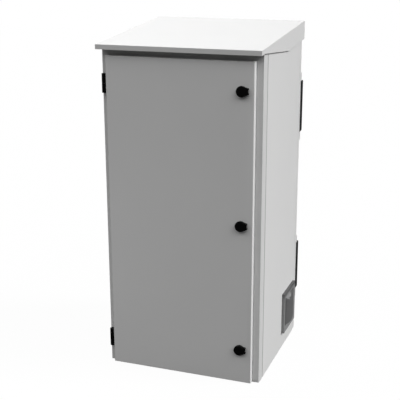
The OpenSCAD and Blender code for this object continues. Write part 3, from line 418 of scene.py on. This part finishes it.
# Mounting rails, mounting plate and earth stud
# Galvanised hat rails span the rear flanges and carry the plate for the equipment.
# The brass stud on the left panel takes the earth wires between its two nuts.
STUD_EDGE = 0.0004
dress(zinc, PLAIN_EDGE, "mounting_rail_upper", "mounting_rail_lower", "mounting_plate")
dress(zinc, HARDWARE_EDGE, "mounting_plate_bolts")

brass = bpy.data.materials.new("brass")
brass.use_nodes = True
tree = brass.node_tree
skin = tree.nodes["Principled BSDF"]
skin.inputs["Metallic"].default_value = 1.0
place = tree.nodes.new("ShaderNodeTexCoord")
tarnish = tree.nodes.new("ShaderNodeTexNoise")
tarnish.inputs["Scale"].default_value = 160
tarnish.inputs["Detail"].default_value = 4
tone = tree.nodes.new("ShaderNodeValToRGB")
tone.color_ramp.elements[0].position = 0.35
tone.color_ramp.elements[0].color = (0.46, 0.33, 0.14, 1)
tone.color_ramp.elements[1].position = 0.62
tone.color_ramp.elements[1].color = (0.72, 0.55, 0.26, 1)
rough = tree.nodes.new("ShaderNodeMapRange")
rough.inputs["To Min"].default_value = 0.28
rough.inputs["To Max"].default_value = 0.48
tree.links.new(place.outputs["Object"], tarnish.inputs["Vector"])
tree.links.new(tarnish.outputs["Fac"], tone.inputs["Fac"])
tree.links.new(tone.outputs["Color"], skin.inputs["Base Color"])
tree.links.new(tarnish.outputs["Fac"], rough.inputs["Value"])
tree.links.new(rough.outputs["Result"], skin.inputs["Roughness"])
dress(brass, STUD_EDGE, "earth_stud")

# Filter mats and cassettes of the rear vents
# Thick needled fleece that lies loose in a shallow galvanised box behind the slots.
# The cut edges are soft and the faces swell a little between the box's bars.
PAD_ROUNDING = 0.35
WAVE_LENGTH = 0.03
WAVE_HEIGHT = 1.6
REAR_PAD_CUTS = 24
REAR_PAD_SWELL = 0.0008
fleece = bpy.data.materials.new("fleece")
fleece.use_nodes = True
tree = fleece.node_tree
skin = tree.nodes["Principled BSDF"]
skin.inputs["Roughness"].default_value = 0.95
skin.inputs["Sheen Weight"].default_value = 0.25
skin.inputs["Sheen Roughness"].default_value = 0.6
place = tree.nodes.new("ShaderNodeTexCoord")
swirl = tree.nodes.new("ShaderNodeTexNoise")
swirl.inputs["Scale"].default_value = 240
swirl.inputs["Detail"].default_value = 6
swirl.inputs["Distortion"].default_value = 2.4
tone = tree.nodes.new("ShaderNodeValToRGB")
tone.color_ramp.elements[0].position = 0.32
tone.color_ramp.elements[0].color = (0.36, 0.36, 0.34, 1)
tone.color_ramp.elements[1].position = 0.66
tone.color_ramp.elements[1].color = (0.68, 0.68, 0.65, 1)
fuzz = tree.nodes.new("ShaderNodeBump")
fuzz.inputs["Strength"].default_value = 0.8
fuzz.inputs["Distance"].default_value = 0.0006
tree.links.new(place.outputs["Object"], swirl.inputs["Vector"])
tree.links.new(swirl.outputs["Fac"], tone.inputs["Fac"])
tree.links.new(tone.outputs["Color"], skin.inputs["Base Color"])
tree.links.new(swirl.outputs["Fac"], fuzz.inputs["Height"])
tree.links.new(fuzz.outputs["Normal"], skin.inputs["Normal"])


def fleece_pad(name, node, cuts, swell, body):
    """A pad that fills a mat's solid: rounded cut edges and slightly uneven faces."""
    lo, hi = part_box(node)
    size = hi - lo - Vector((2, 2, 2)) * swell
    bpy.ops.object.select_all(action="DESELECT")
    bpy.ops.mesh.primitive_cube_add(size=1, location=(lo + hi) / 2)
    pad = bpy.context.object
    pad.name = name
    bpy.ops.object.mode_set(mode="EDIT")
    bpy.ops.transform.resize(value=size)
    bpy.ops.mesh.bevel(offset=min(size) * PAD_ROUNDING, segments=3, affect="EDGES")
    bpy.ops.mesh.select_all(action="SELECT")
    bpy.ops.mesh.subdivide(number_cuts=cuts)
    bpy.ops.object.mode_set(mode="OBJECT")
    bpy.ops.object.transform_apply(location=True, rotation=True, scale=True)
    waves = bpy.data.textures.new(name + "_waves", "CLOUDS")
    waves.noise_scale = WAVE_LENGTH
    uneven = pad.modifiers.new("uneven", "DISPLACE")
    uneven.texture = waves
    uneven.texture_coords = "LOCAL"
    uneven.strength = swell * WAVE_HEIGHT
    bpy.ops.object.modifier_apply(modifier="uneven")
    bpy.ops.object.shade_smooth()
    pad.data.materials.append(fleece)
    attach(pad, body)
    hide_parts(node)


fleece_pad("upper_fleece", "upper_filter_mat", REAR_PAD_CUTS, REAR_PAD_SWELL, "cabinet")
fleece_pad("lower_fleece", "lower_filter_mat", REAR_PAD_CUTS, REAR_PAD_SWELL, "cabinet")
dress(zinc, PLAIN_EDGE, "upper_filter_cassette", "lower_filter_cassette")

# Rear cover and its screws
# A shallow folded tray that closes the rear, with slots for the two vents.
# It is coated like the body and held by zinc-plated screws with nuts inside.
dress(grey_coat, PLAIN_EDGE, "rear_cover")
dress(zinc, HARDWARE_EDGE, "rear_cover_screws")

# Rear vent hoods, their rails and screws
# Each hood is a black folded sheet with five rows of slots under small visors.
# Two thick grey rails clamp its upper and lower lips to the rear cover.
RAIL_EDGE = 0.0007
black_sheet = coated("black_sheet", light=(0.008, 0.008, 0.0085), dark=(0.012, 0.012, 0.0125),
                     grain_scale=1100, cloud_scale=6, gloss=(0.42, 0.58), relief=0.00004, shine=0.15)
dress(black_sheet, PLAIN_EDGE, "upper_vent_hood", "lower_vent_hood")
dress(grey_coat, RAIL_EDGE, "upper_vent_rails", "lower_vent_rails")
dress(zinc, HARDWARE_EDGE, "vent_rail_screws")

# Filter fan on the right side
# A moulded dark-grey frame and a bowed louvre over a fleece mat, outside the panel.
# Painted shade darkens the frame's top and the slats, all but a wedge at the top of the slats.
# Inside, a black fan with a wire guard is screwed through the panel into the frame.
MOULDED = {"grain_scale": 1500, "cloud_scale": 18, "gloss": (0.5, 0.66), "relief": 0.00008}
MOULDED_EDGE = 0.0003
BLADE_EDGE = 0.00015
TOP_SHADE = (0.098, 0.098, 0.099)
TOP_SHADE_FULL = 0.002
TOP_SHADE_GONE = 0.022
SLAT_SHADE = (0.088, 0.088, 0.089)
SLAT_SHADE_FULL = 0.0185
SLAT_SHADE_GONE = 0.0165
LIT_WEDGE_PLACE = 0.036
LIT_WEDGE_SLOPE = 0.47
SIDE_PAD_CUTS = 16
SIDE_PAD_SWELL = 0.0003
vent_plastic = coated("vent_plastic", light=(0.245, 0.246, 0.248), dark=(0.27, 0.271, 0.273), **MOULDED)
vent_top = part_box("side_vent_frame")[1].z
# Painted shade: the frame's top 20 mm are darkened.
lay_painted_shade(vent_plastic, TOP_SHADE, place_axes(vent_plastic)["Z"], vent_top - TOP_SHADE_FULL, vent_top - TOP_SHADE_GONE)
dress(vent_plastic, MOULDED_EDGE, "side_vent_frame")

# The louvre's tone is darker than the frame's as painted shade, and painted shade darkens its slats
# further, all but a lit wedge near the top.
louvre_plastic = coated("louvre_plastic", light=(0.215, 0.216, 0.218), dark=(0.24, 0.241, 0.243), **MOULDED)
louvre_lo, louvre_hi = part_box("side_vent_louvre")
tree = louvre_plastic.node_tree
axes = place_axes(louvre_plastic)
aside = tree.nodes.new("ShaderNodeMath")
aside.operation = "SUBTRACT"
aside.inputs[1].default_value = louvre_lo.y + LIT_WEDGE_PLACE
away = tree.nodes.new("ShaderNodeMath")
away.operation = "ABSOLUTE"
lit_wedge = tree.nodes.new("ShaderNodeMath")
lit_wedge.operation = "MULTIPLY_ADD"
lit_wedge.inputs[1].default_value = -LIT_WEDGE_SLOPE
tree.links.new(axes["Y"], aside.inputs[0])
tree.links.new(aside.outputs[0], away.inputs[0])
tree.links.new(away.outputs[0], lit_wedge.inputs[0])
tree.links.new(axes["Z"], lit_wedge.inputs[2])
# Painted shade on the slats below the lit wedge.
lay_painted_shade(louvre_plastic, SLAT_SHADE, lit_wedge.outputs[0], louvre_hi.z - SLAT_SHADE_FULL, louvre_hi.z - SLAT_SHADE_GONE)
dress(louvre_plastic, MOULDED_EDGE, "side_vent_louvre")
fleece_pad("side_fleece", "side_vent_mat", SIDE_PAD_CUTS, SIDE_PAD_SWELL, "cabinet")

fan_black = coated("fan_black", light=(0.014, 0.014, 0.015), dark=(0.02, 0.02, 0.021),
                   grain_scale=1900, cloud_scale=25, gloss=(0.36, 0.5), relief=0.00004)
dress(fan_black, MOULDED_EDGE, "fan_frame")
dress(fan_black, BLADE_EDGE, "fan_rotor")
dress(zinc, HARDWARE_EDGE, "fan_guard", "fan_screws")

# Roof: brackets, bolts and rain hood
# Two folded brackets are bolted to the top panel and carry the sloping hood.
# The hood is one folded sheet with welded corners, a front lip and tapered side skirts.
dress(grey_coat, PLAIN_EDGE, "roof_bracket_front", "roof_bracket_rear", "roof_hood")
dress(zinc, HARDWARE_EDGE, "roof_bolts")

# Hinges
# Cast zinc halves with a black coat: one on the frame, one on the door's edge.
# They meet at a thin gap and turn on a plain steel pin.
CAST_EDGE = 0.0002
black_cast = coated("black_cast", light=(0.002, 0.002, 0.0021), dark=(0.003, 0.003, 0.0031),
                    grain_scale=1400, cloud_scale=40, gloss=(0.42, 0.6), relief=0.00006, shine=0.12)
for end in ("upper", "lower"):
    dress(black_cast, CAST_EDGE, "hinge_frame_half_" + end, "hinge_door_half_" + end)
dress(zinc, HARDWARE_EDGE, "hinge_pins", "hinge_frame_bolts", "hinge_door_bolts")

# Door, stiffeners and gasket
# A folded tray of the body's steel with two hat-section stiffeners welded inside.
# The foam gasket is glued in one ring, and the frame's lip has pressed a groove in it.
GASKET_W = 0.010
CROWN_W = 0.0034
GROOVE_DEPTH = 0.0012
RIM_R = 0.0026
RIM_LENGTH = 0.1
NEAR = 0.0005
dress(grey_coat, PLAIN_EDGE, "door_panel", "door_stiffener_left", "door_stiffener_right")

gasket_lo, gasket_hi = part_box("door_gasket")
middle = (gasket_lo + gasket_hi) / 2
size = gasket_hi - gasket_lo
ring_place = (middle.x, gasket_lo.y, middle.z)
bpy.ops.object.select_all(action="DESELECT")
bpy.ops.mesh.primitive_plane_add(size=1, location=ring_place, rotation=(math.pi / 2, 0, 0))
gasket = bpy.context.object
gasket.name = "gasket_ring"
bpy.ops.object.transform_apply(location=True, rotation=True, scale=True)
bpy.ops.object.mode_set(mode="EDIT")
bpy.ops.transform.resize(value=(size.x, 1, size.z), center_override=ring_place)
for width in (CROWN_W, GASKET_W - 2 * CROWN_W, CROWN_W):
    bpy.ops.mesh.inset(thickness=width, use_even_offset=True)
bpy.ops.mesh.delete(type="ONLY_FACE")
bpy.ops.mesh.select_all(action="SELECT")
bpy.ops.mesh.extrude_region_move(TRANSFORM_OT_translate={"value": (0, size.y, 0)})
bpy.ops.mesh.select_all(action="SELECT")
bpy.ops.mesh.normals_make_consistent(inside=False)
bpy.ops.mesh.select_all(action="DESELECT")
bpy.ops.object.mode_set(mode="OBJECT")


def ring_depth(point):
    """How far a point lies inside the gasket's outer rectangle."""
    return min(size.x / 2 - abs(point.x - middle.x), size.z / 2 - abs(point.z - middle.z))


def on_rim(point):
    """Whether a point lies on the inner or outer rim of the gasket's soft face."""
    return point.y > middle.y and not NEAR <= ring_depth(point) <= GASKET_W - NEAR


for vertex in gasket.data.vertices:
    if vertex.co.y > middle.y and CROWN_W - NEAR < ring_depth(vertex.co) < GASKET_W - CROWN_W + NEAR:
        vertex.co.y -= GROOVE_DEPTH
for edge in gasket.data.edges:
    a, b = (gasket.data.vertices[i].co for i in edge.vertices)
    edge.select = on_rim(a) and on_rim(b) and (a - b).length > RIM_LENGTH
bpy.ops.object.mode_set(mode="EDIT")
bpy.ops.mesh.select_mode(type="EDGE")
bpy.ops.mesh.bevel(offset=RIM_R, segments=4, affect="EDGES")
bpy.ops.object.mode_set(mode="OBJECT")
bpy.ops.object.shade_smooth_by_angle(angle=math.radians(40))
gasket.data.materials.append(foam)
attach(gasket, "door")
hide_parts("door_gasket")

# Locks
# Three quarter-turn locks: a black housing through the door, held by a nut inside.
# A turning insert carries the cam, and a round dust cap hinges on the housing's lug.
for row in ("top", "middle", "bottom"):
    dress(black_cast, PLAIN_EDGE, "lock_housing_" + row, "lock_cap_" + row)
    dress(zinc, HARDWARE_EDGE, "lock_insert_" + row, "lock_cam_" + row)
dress(zinc, HARDWARE_EDGE, "lock_nuts")
dress(zinc, PLAIN_EDGE, "cap_pins")
